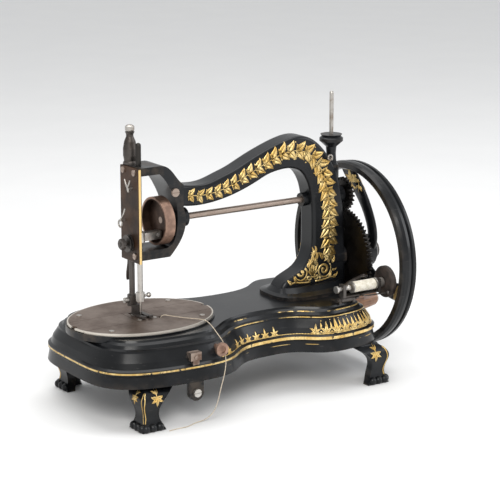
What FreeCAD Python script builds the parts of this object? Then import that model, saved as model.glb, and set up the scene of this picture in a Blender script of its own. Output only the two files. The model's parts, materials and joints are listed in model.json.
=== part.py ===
"""Portable hand-driven sewing machine with a humped arm on a fiddle-shaped bed.

Millimetres, +Z up, +X along the arm towards the hand wheel, -Y towards the sewer.
The origin is on the standing surface, at the centre of the machine's footprint box.
"""
import FreeCAD, Part
import math
import os

V = FreeCAD.Vector
X_AXIS = V(1, 0, 0)
Y_AXIS = V(0, 1, 0)
Z_AXIS = V(0, 0, 1)

# ---- driving dimensions -------------------------------------------------------------
RUN_GAP = 0.05          # radial clearance of a shaft in its hole
SLIDE_GAP = 0.4         # clearance between faces that move past each other

# bed
BED_LEFT = -212.0
BED_RIGHT = 111.0
LOBE_LEFT_HALF = 89.0   # half width of the big lobe under the cloth plate
WAIST_HALF = 56.0
LOBE_RIGHT_HALF = 83.0  # half width of the lobe under the pillar
BED_BOTTOM = 42.0
DECK_TOP = 84.0
BED_WALL = 5.0
DECK_THICK = 5.0
SKIRT_FLARE = 2.5       # how far the skirt's foot stands out past the outline

# legs
LEG_INSET_LEFT = 36.0    # leg corner, in from the end of the bed
LEG_INSET_RIGHT = 11.0
LEG_HALF_SPAN = 80.0
LEG_THICK = 9.0

# sewing head
NEEDLE_X = -134.0
NEEDLE_BAR_R = 2.7
NEEDLE_BAR_TOP = 262.0
NEEDLE_BAR_LOW = 104.0
NEEDLE_TRAVEL = 28.0
PRESSER_X = -134.6
PRESSER_Y = 15.0
PRESSER_R = 2.9
LIFTER_Z = 152.0
HEAD_LEFT = -140.0
HEAD_FRONT = -13.0
HEAD_BACK = 20.0
HEAD_TOP = 239.0
HEAD_LOW = 147.0
FACE_THICK = 3.0

# cloth plate
PLATE_HALF_X = 76.0
PLATE_HALF_Y = 60.0
PLATE_TOP = 88.0
PLATE_THICK = 2.4

# shafts and wheel
SHAFT_Z = 182.0
SHAFT_R = 3.3
SHAFT_LEFT = -106.0
WHEEL_Z = 117.0
WHEEL_R = 98.0
RIM_DEPTH = 9.0
RIM_LEFT = 118.0
RIM_WIDTH = 17.0
HUB_R = 17.0
STUD_R = 6.0
GEAR_TEETH = 66
PINION_TEETH = 22
GEAR_LEFT = 110.2
GEAR_WIDTH = 4.8
GRIP_LENGTH = 56.0
GRIP_R = 11.0
GRIP_ANGLE = 215.0      # where the grip stands on the rim, from straight up towards the sewer

# arm
ARM_HALF = 12.0
CAM_R = 24.0
CAM_WALL = 2.5
CAM_DEPTH = 11.0
CAM_LEFT = -118.0

# spool holder
SPOOL_X = 96.5
SPOOL_SEAT_Z = 213.0
SPOOL_CUP_R = 12.3
SPOOL_CUP_TOP = 247.0
SPOOL_PIN_R = 2.2
SPOOL_NECK_R = 1.8      # where the pin stands in the cup
SPOOL_PIN_TOP = 292.0

# bobbin winder
WINDER_Y = -63.0
WINDER_Z = 99.5
WINDER_PIVOT_Y = -62.0
WINDER_PIVOT_Z = 87.5
WINDER_PULLEY_R = 16.5
BOBBIN_LEFT = 78.0
BOBBIN_LENGTH = 30.0
BOBBIN_R = 5.6

# regulator, lug and bracket on the front of the bed
REGULATOR_X = -97.0
REGULATOR_Z = 70.0
LUG_X = -125.0
LUG_R = 8.0
LUG_HOLE_R = 2.6
LUG_HOLE_Z = 31.0
LUG_FRONT = -90.0
REGULATOR_STEM_R = 3.0

# shuttle works
RACE_HALF = 50.0

# loose thread
THREAD_R = 0.4

SHAPES = {}


# ---- small helpers ------------------------------------------------------------------
def save(name, shape):
    """Keep one sub-part under its node name."""
    SHAPES[name] = shape


def rod_x(radius, x0, x1, y, z):
    return Part.makeCylinder(radius, x1 - x0, V(x0, y, z), X_AXIS)


def rod_y(radius, y0, y1, x, z):
    return Part.makeCylinder(radius, y1 - y0, V(x, y0, z), Y_AXIS)


def rod_z(radius, z0, z1, x, y):
    return Part.makeCylinder(radius, z1 - z0, V(x, y, z0), Z_AXIS)


def box(x0, x1, y0, y1, z0, z1):
    return Part.makeBox(x1 - x0, y1 - y0, z1 - z0, V(x0, y0, z0))


def ball(radius, x, y, z):
    return Part.makeSphere(radius, V(x, y, z))


def fuse(first, *others):
    """Join solids into one and merge the faces that continue each other."""
    return first.fuse(list(others)).removeSplitter()


def turned_z(profile, x, y):
    """Solid of revolution about a vertical axis from (radius, z) points."""
    points = [V(0, 0, profile[0][1])]
    points += [V(radius, 0, z) for radius, z in profile]
    points += [V(0, 0, profile[-1][1]), V(0, 0, profile[0][1])]
    solid = Part.Face(Part.makePolygon(points)).revolve(V(0, 0, 0), Z_AXIS, 360)
    solid.translate(V(x, y, 0))
    return solid


def turned_x(profile, y, z):
    """Solid of revolution about an axis along X from (radius, x) points."""
    points = [V(profile[0][1], 0, 0)]
    points += [V(x, 0, radius) for radius, x in profile]
    points += [V(profile[-1][1], 0, 0), V(profile[0][1], 0, 0)]
    solid = Part.Face(Part.makePolygon(points)).revolve(V(0, 0, 0), X_AXIS, 360)
    solid.translate(V(0, y, z))
    return solid


def spline(points, closed=False):
    curve = Part.BSplineCurve()
    curve.interpolate(Points=[V(*p) for p in points], PeriodicFlag=closed)
    return curve.toShape()


def ellipse_wire(centre, tangent, across, half_across, half_thick):
    """Ellipse square to tangent, its long axis along across."""
    tangent = V(*tangent).normalize()
    across = V(*across)
    across = (across - tangent * across.dot(tangent)).normalize()
    other = tangent.cross(across)
    centre = V(*centre)
    if half_across < half_thick:
        across, other = other, across
        half_across, half_thick = half_thick, half_across
    tip = centre + across * half_across
    side = centre + other * half_thick
    return Part.Wire(Part.Ellipse(tip, side, centre).toShape())


def rounded_bar(points, across, widths, thicks):
    """Smooth bar through points, elliptical in section."""
    wires = []
    last = len(points) - 1
    for i, point in enumerate(points):
        before = V(*points[max(i - 1, 0)])
        after = V(*points[min(i + 1, last)])
        wires.append(ellipse_wire(point, after - before, across, widths[i] / 2, thicks[i] / 2))
    return Part.makeLoft(wires, True, False)


def bent_rod(points, radius, bend):
    """Round rod of straight runs joined by tangent arcs of one bend radius."""
    corners = [V(*p) for p in points]
    edges = []
    here = corners[0]
    for before, corner, after in zip(corners, corners[1:], corners[2:]):
        towards = (before - corner).normalize()
        away = (after - corner).normalize()
        half = towards.getAngle(away) / 2
        reach = bend / math.tan(half)
        start = corner + towards * reach
        end = corner + away * reach
        middle = corner + (towards + away).normalize() * (bend / math.sin(half) - bend)
        edges.append(Part.LineSegment(here, start).toShape())
        edges.append(Part.Arc(start, middle, end).toShape())
        here = end
    edges.append(Part.LineSegment(here, corners[-1]).toShape())
    path = Part.Wire(edges)
    first = corners[1] - corners[0]
    section = Part.Wire(Part.Circle(corners[0], first, radius).toShape())
    return path.makePipeShell([section], True, False)


# ---- bed ----------------------------------------------------------------------------
def bed_half_width(x):
    """Half width of the fiddle outline where it isn't yet rounded at its ends."""
    left = 1 / (1 + math.exp((x + 68) / 10))
    right = 1 / (1 + math.exp((22 - x) / 8))
    return WAIST_HALF + (LOBE_LEFT_HALF - WAIST_HALF) * left + (LOBE_RIGHT_HALF - WAIST_HALF) * right


def bed_point(turn):
    """Point of the fiddle outline, turn 0 to 4: an oblong whose width follows the lobes."""
    middle = (BED_LEFT + BED_RIGHT) / 2
    half = (BED_RIGHT - BED_LEFT) / 2
    quarter = math.floor(turn)
    u = turn - quarter
    angle = (quarter + u ** 3 / (u ** 3 + (1 - u) ** 3)) * math.pi / 2
    c = math.cos(angle)
    s = math.sin(angle)
    squareness = 6 if c > 0 else 4.2
    across = math.copysign(abs(c) ** (2 / squareness), c)
    x = middle + half * across
    y = math.copysign(abs(s) ** (2 / squareness), s) * bed_half_width(x)
    return x, y


def bed_outline(inset, z):
    """Closed fiddle outline at height z, moved inwards by inset."""
    count = 56
    ring = [bed_point(turn) for turn in outline_turns(count)]
    points = []
    for i, (x, y) in enumerate(ring):
        x0, y0 = ring[i - 1]
        x1, y1 = ring[(i + 1) % count]
        length = math.hypot(x1 - x0, y1 - y0)
        nx = (y1 - y0) / length
        ny = -(x1 - x0) / length
        points.append((x - nx * inset, y - ny * inset, z))
    return Part.Wire(spline(points, closed=True))


def outline_turns(count):
    """Turns that space the outline's points about evenly along the bed."""
    dense = 4000
    walk = [bed_point(4 * i / dense) for i in range(dense + 1)]
    run = [0.0]
    for (x0, y0), (x1, y1) in zip(walk, walk[1:]):
        run.append(run[-1] + math.hypot(x1 - x0, y1 - y0))
    turns = []
    j = 0
    for i in range(count):
        target = run[-1] * i / count
        while run[j] < target:
            j += 1
        turns.append(4 * j / dense)
    return turns


def stacked(levels):
    """Closed solid through fiddle outlines given as (z, inset)."""
    return Part.makeLoft([bed_outline(inset, z) for z, inset in levels], True, True)


def make_bed():
    outer = stacked([
        (BED_BOTTOM, -SKIRT_FLARE), (BED_BOTTOM + 11, -0.5), (BED_BOTTOM + 13, -2.0),
        (BED_BOTTOM + 16.5, -2.0), (BED_BOTTOM + 18, 1.0), (BED_BOTTOM + 24, 3.0),
        (BED_BOTTOM + 32, 8.5), (BED_BOTTOM + 34, 9.0),
        (BED_BOTTOM + 35, 12.5), (BED_BOTTOM + 38, 14.5), (DECK_TOP - 2, 17.5), (DECK_TOP, 18.5)])
    hollow = stacked([
        (BED_BOTTOM - 1, BED_WALL - 1.0), (BED_BOTTOM + 18, BED_WALL + 1.5),
        (BED_BOTTOM + 26, BED_WALL + 5.5),
        (DECK_TOP - DECK_THICK, BED_WALL + 19.0)])
    bed = outer.cut(hollow)
    seat = plate_blank(PLATE_HALF_X + 1.5, PLATE_HALF_Y + 1.5, DECK_TOP - DECK_THICK,
                       PLATE_TOP - PLATE_THICK)
    well = box(NEEDLE_X - RACE_HALF + 5, NEEDLE_X + RACE_HALF - 5, -16, 16, DECK_TOP - 12, PLATE_TOP)
    bed = bed.fuse(seat).cut(well)
    lug = fuse(box(LUG_X - LUG_R, LUG_X + LUG_R, LUG_FRONT, LUG_FRONT + 5, LUG_HOLE_Z, BED_BOTTOM + 6),
               rod_y(LUG_R, LUG_FRONT, LUG_FRONT + 5, LUG_X, LUG_HOLE_Z))
    bed = bed.cut(rod_y(REGULATOR_STEM_R + RUN_GAP, -95, -60, REGULATOR_X, REGULATOR_Z))
    save("bed_casting", bed.removeSplitter())
    lug = lug.cut(rod_y(LUG_HOLE_R, LUG_FRONT - 1, LUG_FRONT + 6, LUG_X, LUG_HOLE_Z))
    save("front_lug", biggest(lug.cut(SHAPES["bed_casting"])))


def leg_section(corner_x, corner_y, side_x, side_y, length, z):
    """Corner-shaped outline of a leg at height z; sides give which way is outwards."""
    t = LEG_THICK
    plan = [(0, 0), (length, 0), (length, t), (t, t), (t, length), (0, length)]
    points = [V(corner_x - side_x * a, corner_y - side_y * b, z) for a, b in plan]
    return Part.makePolygon(points + [points[0]])


def make_leg(side_x, side_y):
    end = BED_RIGHT if side_x > 0 else BED_LEFT
    inset = LEG_INSET_RIGHT if side_x > 0 else LEG_INSET_LEFT
    x = end - side_x * inset
    y = side_y * LEG_HALF_SPAN
    levels = [(BED_BOTTOM, 0.0, 33.0), (35.0, 6.5, 28.0), (26.0, 8.0, 21.0), (14.0, 5.0, 16.5),
              (6.0, 6.5, 21.0), (0.0, 8.5, 26.0)]
    wires = [leg_section(x + side_x * out, y + side_y * out, side_x, side_y, length, z)
             for z, out, length in levels]
    leg = Part.makeLoft(wires, True, False)
    toes = []
    foot_out = levels[-1][1]
    for step in (4.5, 12.0, 19.5):
        toes.append(ball(4.2, x + side_x * (foot_out - step), y + side_y * (foot_out - 1.5), 3.6))
        toes.append(ball(4.2, x + side_x * (foot_out - 1.5), y + side_y * (foot_out - step), 3.6))
    leg = leg.fuse(toes)
    floor = box(x - 60, x + 60, y - 60, y + 60, -20, 0)
    return leg.cut(floor).removeSplitter()


# ---- cloth plate --------------------------------------------------------------------
def plate_blank(half_x, half_y, z0, z1):
    wire = Part.Wire(Part.Ellipse(V(NEEDLE_X, 0, z0), half_x, half_y).toShape())
    return Part.Face(wire).extrude(V(0, 0, z1 - z0))


SLIDE_PLATE_HALF = 17.0
NEEDLE_PLATE_HALF = 12.0


def make_plates():
    low = PLATE_TOP - PLATE_THICK
    blank = plate_blank(PLATE_HALF_X, PLATE_HALF_Y, low, PLATE_TOP)
    needle_x0 = NEEDLE_X - NEEDLE_PLATE_HALF
    needle_x1 = NEEDLE_X + NEEDLE_PLATE_HALF
    channel = box(NEEDLE_X - 100, NEEDLE_X + 100, -SLIDE_PLATE_HALF, SLIDE_PLATE_HALF,
                  low - 1, PLATE_TOP + 1)
    save("cloth_plate", blank.cut(channel))
    inner = SLIDE_PLATE_HALF - SLIDE_GAP
    strip = blank.common(box(NEEDLE_X - 100, NEEDLE_X + 100, -inner, inner, low + SLIDE_GAP, PLATE_TOP))
    right = strip.common(box(needle_x1 + SLIDE_GAP, NEEDLE_X + 100, -30, 30, low, PLATE_TOP))
    left = strip.common(box(NEEDLE_X - 100, needle_x0 - SLIDE_GAP, -30, 30, low, PLATE_TOP))
    right = right.cut(box(needle_x1, needle_x1 + 3.2, -SLIDE_PLATE_HALF, -12.4, low, PLATE_TOP + 1))
    nick = rod_z(3.5, low - 1, PLATE_TOP + 1, NEEDLE_X + PLATE_HALF_X - 1, 0)
    save("right_slide_plate", right.cut(nick))
    save("left_slide_plate", left.cut(rod_z(3.5, low - 1, PLATE_TOP + 1, NEEDLE_X - PLATE_HALF_X + 1, 0)))
    plate = box(needle_x0, needle_x1, -inner, inner, low, PLATE_TOP)
    plate = plate.cut(rod_z(1.2, low - 1, PLATE_TOP + 1, NEEDLE_X, 0))
    for slot_x in (-5.0, 5.0):
        middle = NEEDLE_X + slot_x
        plate = plate.cut(box(middle - 1.6, middle + 1.6, 1, 14, low - 1, PLATE_TOP + 1))
    screws = []
    for screw_x, screw_y in ((-8.5, -13.0), (8.5, -13.0)):
        plate = plate.cut(rod_z(2.0, low - 1, PLATE_TOP + 1, NEEDLE_X + screw_x, screw_y))
        screws.append(slotted_head(NEEDLE_X + screw_x, screw_y, low, PLATE_TOP + 0.3, 1.95))
    save("needle_plate", plate)
    for turn in (40, 140, 220, 320):
        sx = NEEDLE_X + (PLATE_HALF_X - 9) * math.cos(math.radians(turn))
        sy = (PLATE_HALF_Y - 9) * math.sin(math.radians(turn))
        screws.append(slotted_head(sx, sy, PLATE_TOP, PLATE_TOP + 0.8, 2.6))
    screws.append(lug_screw())
    save("bed_screws", Part.makeCompound(screws))


def lug_screw():
    y = LUG_FRONT
    head = rod_y(4.0, y - 2.4, y, LUG_X, LUG_HOLE_Z)
    head = head.cut(box(LUG_X - 5, LUG_X + 5, y - 3, y - 1.6, LUG_HOLE_Z - 0.4, LUG_HOLE_Z + 0.4))
    return fuse(head, rod_y(LUG_HOLE_R, y, y + 9.0, LUG_X, LUG_HOLE_Z))


def slotted_head(x, y, z0, z1, radius):
    head = rod_z(radius, z0, z1, x, y)
    slot = box(x - radius, x + radius, y - 0.25, y + 0.25, z1 - 0.35, z1 + 1)
    return head.cut(slot)


# ---- arm and pillar -----------------------------------------------------------------
def make_arm():
    top = [(-91, 0, 217), (-76, 0, 214.5), (-59, 0, 215.5), (-44, 0, 220), (-29, 0, 225), (-11, 0, 233),
           (11, 0, 242), (33, 0, 249), (49, 0, 251), (61, 0, 248.5), (74, 0, 240), (84, 0, 229),
           (93, 0, 214), (100, 0, 197), (104, 0, 179), (106.5, 0, 150), (108, 0, 120), (108.5, 0, 92)]
    under = [(27, 0, 92), (31, 0, 99), (40, 0, 104.5), (55, 0, 112), (63.5, 0, 124), (66, 0, 145),
             (64.5, 0, 183), (62, 0, 196), (57, 0, 207), (51, 0, 214), (40, 0, 218.5), (22, 0, 218),
             (11, 0, 215.5),
             (-1, 0, 210.5), (-12, 0, 206), (-34, 0, 199), (-55, 0, 195), (-77, 0, 194), (-91, 0, 195.5)]
    edges = [spline(top), Part.makeLine(V(*top[-1]), V(*under[0])), spline(under),
             Part.makeLine(V(*under[-1]), V(*top[0]))]
    side = Part.Face(Part.Wire(edges))
    side.translate(V(0, -ARM_HALF, 0))
    body = side.extrude(V(0, 2 * ARM_HALF, 0))
    long_edges = [e for e in body.Edges
                  if e.Length > 100 and abs(e.BoundBox.YMax - e.BoundBox.YMin) < 0.01
                  and e.BoundBox.ZMax - e.BoundBox.ZMin > 20]
    body = body.makeFillet(3.5, long_edges)
    foot = Part.makeLoft([plinth_wire(63.5, 45, 33, DECK_TOP), plinth_wire(63.5, 45, 33, 87.5),
                          plinth_wire(65, 42.5, 24, 89.5), plinth_wire(67, 40.5, 18, 94)], True, True)
    left_boss = rod_x(7.0, 58.0, 70.0, 0, SHAFT_Z)
    right_boss = rod_x(9.0, 100.0, GEAR_LEFT - 1.0, 0, SHAFT_Z)
    wheel_boss = rod_x(13.0, 96.0, GEAR_LEFT - 1.0, 0, WHEEL_Z)
    seat = rod_z(8.0, 190.0, SPOOL_SEAT_Z, SPOOL_X, 0)
    arm = fuse(body, foot, left_boss, right_boss, wheel_boss, seat)
    arm = arm.cut(rod_z(8.2, SPOOL_SEAT_Z, SPOOL_SEAT_Z + 40, SPOOL_X, 0))
    arm = arm.cut(rod_x(SHAFT_R + RUN_GAP, 50, 120, 0, SHAFT_Z))
    arm = arm.cut(rod_x(STUD_R - 1.0, 78, 120, 0, WHEEL_Z))
    arm = arm.cut(rod_z(SPOOL_NECK_R, SPOOL_SEAT_Z - 14, SPOOL_SEAT_Z + 1, SPOOL_X, 0))
    save("arm_casting", arm)


def plinth_wire(centre_x, half_x, half_y, z):
    """Rounded oblong outline of the pillar's foot at height z."""
    points = []
    for i in range(24):
        angle = 2 * math.pi * (i + 0.5) / 24
        c = math.cos(angle)
        s = math.sin(angle)
        points.append((centre_x + half_x * math.copysign(abs(c) ** 0.6, c),
                       half_y * math.copysign(abs(s) ** 0.6, s), z))
    return Part.Wire(spline(points, closed=True))


def make_spool_holder():
    z = SPOOL_SEAT_Z
    top = SPOOL_CUP_TOP
    profile = [(7.6, z), (7.6, z + 2), (5.6, z + 4), (5.0, z + 14), (5.6, z + 21), (9.0, z + 24),
               (SPOOL_CUP_R, z + 27), (SPOOL_CUP_R, top - 4), (10.0, top - 2), (SPOOL_CUP_R - 1, top)]
    cup = turned_z(profile, SPOOL_X, 0)
    cup = cup.cut(rod_z(SPOOL_NECK_R, z - 1, top + 1, SPOOL_X, 0))
    save("spool_cup", cup)
    neck = rod_z(SPOOL_NECK_R, z - 12, top + 1.0, SPOOL_X, 0)
    pin = neck.fuse(rod_z(SPOOL_PIN_R, top + 1.0, SPOOL_PIN_TOP - SPOOL_PIN_R, SPOOL_X, 0))
    save("spool_pin", fuse(pin, ball(SPOOL_PIN_R, SPOOL_X, 0, SPOOL_PIN_TOP - SPOOL_PIN_R)))


# ---- head ---------------------------------------------------------------------------
def make_head():
    outer = [(-117, 0, HEAD_TOP), (-108, 0, 236), (-99, 0, 226), (-91, 0, 218)]
    waist = [(-91, 0, 194), (-88.5, 0, 181), (-91, 0, 169), (-98, 0, 157), (-107, 0, HEAD_LOW)]
    inner = [(-112, 0, 156), (-104, 0, 160), (-99.5, 0, 170), (-98, 0, 184), (-99, 0, 198), (-104.5, 0, 212),
             (-111, 0, 223), (-118, 0, 231)]
    edges = [
        Part.makeLine(V(HEAD_LEFT, 0, HEAD_TOP), V(*outer[0])), spline(outer),
        Part.makeLine(V(*outer[-1]), V(*waist[0])), spline(waist),
        Part.makeLine(V(*waist[-1]), V(HEAD_LEFT, 0, HEAD_LOW)),
        Part.makeLine(V(HEAD_LEFT, 0, HEAD_LOW), V(HEAD_LEFT, 0, 156)),
        Part.makeLine(V(HEAD_LEFT, 0, 156), V(*inner[0])), spline(inner),
        Part.makeLine(V(*inner[-1]), V(HEAD_LEFT, 0, 231)),
        Part.makeLine(V(HEAD_LEFT, 0, 231), V(HEAD_LEFT, 0, HEAD_TOP))]
    side = Part.Face(Part.Wire(edges))
    side.translate(V(0, HEAD_FRONT, 0))
    yoke = side.extrude(V(0, HEAD_BACK - HEAD_FRONT, 0))
    boss = rod_x(9.5, -99.5, -82.0, 0, SHAFT_Z)
    yoke = fuse(yoke, boss)
    yoke = yoke.cut(rod_x(SHAFT_R + RUN_GAP, -120, -70, 0, SHAFT_Z))
    yoke = yoke.cut(rod_z(NEEDLE_BAR_R + RUN_GAP, 140, 245, NEEDLE_X, 0))
    yoke = yoke.cut(rod_z(PRESSER_R + RUN_GAP, 140, 245, PRESSER_X, PRESSER_Y))
    yoke = yoke.cut(rod_y(2.5, HEAD_FRONT - 1, HEAD_FRONT + 8, -101, 211))
    save("head_yoke", yoke)


def head_screw():
    x = -101.0
    z = 211.0
    head = rod_y(4.2, HEAD_FRONT - 2.2, HEAD_FRONT, x, z)
    head = head.cut(box(x - 5, x + 5, HEAD_FRONT - 3, HEAD_FRONT - 1.4, z - 0.4, z + 0.4))
    return fuse(rod_y(2.4, HEAD_FRONT, HEAD_FRONT + 7, x, z), head)


def make_face_plate():
    left = HEAD_LEFT - FACE_THICK
    plate = box(left, HEAD_LEFT, HEAD_FRONT - 1.5, HEAD_BACK + 1.0, HEAD_LOW - 3, HEAD_TOP - 1)
    plate = plate.makeFillet(1.2, [e for e in plate.Edges if abs(e.BoundBox.XMax - left) < 0.01])
    for y, z in face_screw_places():
        plate = plate.cut(rod_x(1.6, left - 1, HEAD_LEFT + 1, y, z))
    plate = plate.cut(rod_x(2.2, left - 1, HEAD_LEFT + 1, 1, 163))
    save("face_plate", plate)
    screws = []
    for y, z in face_screw_places():
        head = rod_x(3.1, left - 1.4, left, y, z)
        head = head.cut(box(left - 2, left - 1.0, y - 3.2, y + 3.2, z - 0.3, z + 0.3))
        screws.append(fuse(head, rod_x(1.55, left, HEAD_LEFT, y, z)))
    screws.append(head_screw())
    screws.append(lifter_pivot())
    save("head_screws", Part.makeCompound(screws))


def face_screw_places():
    return [(-7.0, 234.0), (14.0, 234.0), (-7.0, 151.0)]


def make_face_fittings():
    left = HEAD_LEFT - FACE_THICK
    fork = fuse(rod_x(1.5, left - 4, left, -2, 218),
                rounded_bar([(left - 4, -2, 215), (left - 4.5, -2, 219), (left - 5, -2, 222)], (0, 1, 0),
                            [2.4, 3.0, 2.4], [2.0, 2.2, 2.0]),
                rounded_bar([(left - 4.6, -2, 219), (left - 5, -5, 223), (left - 5, -7, 227)], (1, 0, 0),
                            [2.0, 1.8, 1.4], [2.2, 2.0, 1.6]),
                rounded_bar([(left - 4.6, -2, 219), (left - 5, 1, 223), (left - 5, 3, 227)], (1, 0, 0),
                            [2.0, 1.8, 1.4], [2.2, 2.0, 1.6]))
    pigtail = bent_rod([(left, 12, 184), (left - 5.5, 12, 184), (left - 5.5, 5, 192),
                        (left - 5.5, 2, 198)], 0.9, 2.2)
    curl = Part.makeTorus(3.4, 0.9, V(left - 5.5, 12, 181.0), X_AXIS)
    save("face_thread_guides", Part.makeCompound([fork, fuse(pigtail, curl)]))
    stud = fuse(rod_x(2.15, left - 13, HEAD_LEFT, 1, 163), rod_x(4.0, left - 1.5, left, 1, 163))
    stack = [stud]
    for step in (0, 1):
        near = left - 1.8 - 2.6 * step
        disc = turned_x([(8.6, near - 0.9), (8.6, near - 0.4), (5.0, near)], 1, 163)
        stack.append(disc.cut(rod_x(2.15, near - 5, near + 5, 1, 163)))
    save("tension_stack", Part.makeCompound(stack))
    nut_left = left - 12.4
    nut = turned_x([(4.6, nut_left), (5.6, nut_left + 1), (5.6, nut_left + 4), (4.0, nut_left + 5)], 1, 163)
    for i in range(10):
        turn = math.radians(36 * i)
        nut = nut.cut(rod_x(0.5, nut_left - 1, nut_left + 6,
                            1 + 5.7 * math.cos(turn), 163 + 5.7 * math.sin(turn)))
    save("tension_nut", nut.cut(rod_x(2.15 + RUN_GAP, nut_left - 1, nut_left + 6, 1, 163)))


def make_needle_bar():
    x = NEEDLE_X
    low = NEEDLE_BAR_LOW
    bar = rod_z(NEEDLE_BAR_R, low, NEEDLE_BAR_TOP - 3, x, 0)
    save("needle_bar", fuse(bar, ball(NEEDLE_BAR_R, x, 0, NEEDLE_BAR_TOP - 3)))
    z = SHAFT_Z - NEEDLE_TRAVEL / 2
    carrier = fuse(rod_z(5.4, z - 5, z + 5, x, 0), box(x + 3, CAM_LEFT + 6.5, -4, 4, z - 4, z + 4))
    carrier = carrier.cut(rod_z(NEEDLE_BAR_R, z - 6, z + 6, x, 0))
    carrier = carrier.cut(box(CAM_LEFT + 1.5, CAM_LEFT + 4.5, -5, 5, z - 2.2, z + 2.2))
    save("bar_carrier", carrier)
    clamp = rod_z(4.3, low - 1.0, low + 8.0, x, 0).cut(rod_z(NEEDLE_BAR_R, low, low + 9, x, 0))
    clamp = clamp.cut(rod_z(0.9, low - 2, low, x, 0))
    save("needle_clamp", clamp)
    thumb = fuse(rod_x(1.4, x + 4.3, x + 8.6, 0, low + 4.0), ball(2.6, x + 9.6, 0, low + 4.0))
    save("needle_clamp_screw", thumb)
    needle = fuse(rod_z(0.9, low - 12, low, x, 0), rod_z(0.6, low - 30, low - 12, x, 0))
    tip = Part.makeCone(0.05, 0.6, 4.0, V(x, 0, low - 34), Z_AXIS)
    save("needle", fuse(needle, tip))


FOOT_LOW = PLATE_TOP + SLIDE_GAP


def make_presser():
    x = PRESSER_X
    y = PRESSER_Y
    bar = rod_z(PRESSER_R, FOOT_LOW + 9, HEAD_TOP + 4, x, y)
    save("presser_bar", bar)
    sole = box(NEEDLE_X - 6, NEEDLE_X + 6, -12, 9, FOOT_LOW, FOOT_LOW + 1.6)
    sole = sole.cut(box(NEEDLE_X - 1.6, NEEDLE_X + 1.6, -13, 3.0, FOOT_LOW - 1, FOOT_LOW + 3))
    shank = box(NEEDLE_X - 5.5, NEEDLE_X + 4, 4.4, 8.5, FOOT_LOW + 1, FOOT_LOW + 9.5)
    link = box(x - 3.5, x + 4.0, 4.4, y, FOOT_LOW + 7, FOOT_LOW + 9.5)
    foot = fuse(rod_z(5.0, FOOT_LOW + 7, FOOT_LOW + 18, x, y), link, shank, sole)
    toes = box(NEEDLE_X - 6, NEEDLE_X + 6, -14.2, -11.4, FOOT_LOW + 0.4, FOOT_LOW + 2.6)
    foot = foot.fuse(toes.cut(box(NEEDLE_X - 1.6, NEEDLE_X + 1.6, -15, -11, FOOT_LOW, FOOT_LOW + 3)))
    foot = foot.cut(rod_z(PRESSER_R, FOOT_LOW + 9, FOOT_LOW + 19, x, y))
    save("presser_foot", foot.removeSplitter())
    head = rod_x(2.9, x - 9.2, x - 5.0, y, FOOT_LOW + 13)
    save("foot_screw", head.cut(box(x - 10, x - 8.2, y - 3, y + 3, FOOT_LOW + 12.6, FOOT_LOW + 13.4)))
    ring_z = 172.0
    collar = fuse(rod_z(4.8, ring_z, ring_z + 7, x, y),
                  box(x - 2.5, x + 2.5, y + 3, HEAD_BACK + 1, ring_z, ring_z + 4))
    save("presser_collar", collar.cut(rod_z(PRESSER_R, ring_z - 1, ring_z + 8, x, y)))
    z = HEAD_TOP
    post = turned_z([(7.0, z), (7.0, z + 1.5), (6.0, z + 3), (6.8, z + 8), (6.8, z + 15), (5.6, z + 22),
                     (3.6, z + 27), (3.6, z + 29), (4.8, z + 31.5)], x, y)
    post = post.cut(rod_z(PRESSER_R + 0.4, z - 1, z + 26, x, y))
    post = post.cut(rod_z(1.7 + RUN_GAP, z + 20, z + 35, x, y))
    save("pressure_post", post)
    top = z + 31.5 + SLIDE_GAP
    knob = turned_z([(1.7, z + 22), (1.7, top), (3.8, top), (4.6, top + 1.5), (4.6, top + 5),
                     (2.6, top + 6.5)], x, y)
    save("pressure_knob", knob)
    spring = Part.makeHelix(2.6, 14.0, 2.3)
    wire = Part.Wire(Part.Circle(V(2.3, 0, 0), Y_AXIS, 0.45).toShape())
    coil = Part.Wire(spring.Edges).makePipeShell([wire], True, True)
    coil.translate(V(x, y, z + 5.5))
    save("pressure_spring", coil)


def make_lifter():
    """Lever behind the head that raises the presser bar."""
    y0 = HEAD_BACK + 2.0
    pivot_x = PRESSER_X
    pivot_z = LIFTER_Z
    hub = rod_y(5.0, y0, y0 + 5, pivot_x, pivot_z)
    handle = rounded_bar([(pivot_x, y0 + 2.5, pivot_z), (pivot_x + 4, y0 + 3, pivot_z - 10),
                          (pivot_x + 4, y0 + 5, pivot_z - 22), (pivot_x + 7, y0 + 8, pivot_z - 33)],
                         (1, 0, 0), [7, 6, 6, 9], [4.4, 4, 3.6, 3.6])
    lever = fuse(hub, handle)
    save("presser_lifter", lever.cut(rod_y(2.2 + RUN_GAP, y0 - 1, y0 + 9, pivot_x, pivot_z)))


def lifter_pivot():
    y0 = HEAD_BACK + 2.0
    shank = rod_y(2.2, HEAD_BACK, y0 + 5.4, PRESSER_X, LIFTER_Z)
    return fuse(shank, rod_y(4.0, y0 + 5.4, y0 + 7.0, PRESSER_X, LIFTER_Z))


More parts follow.
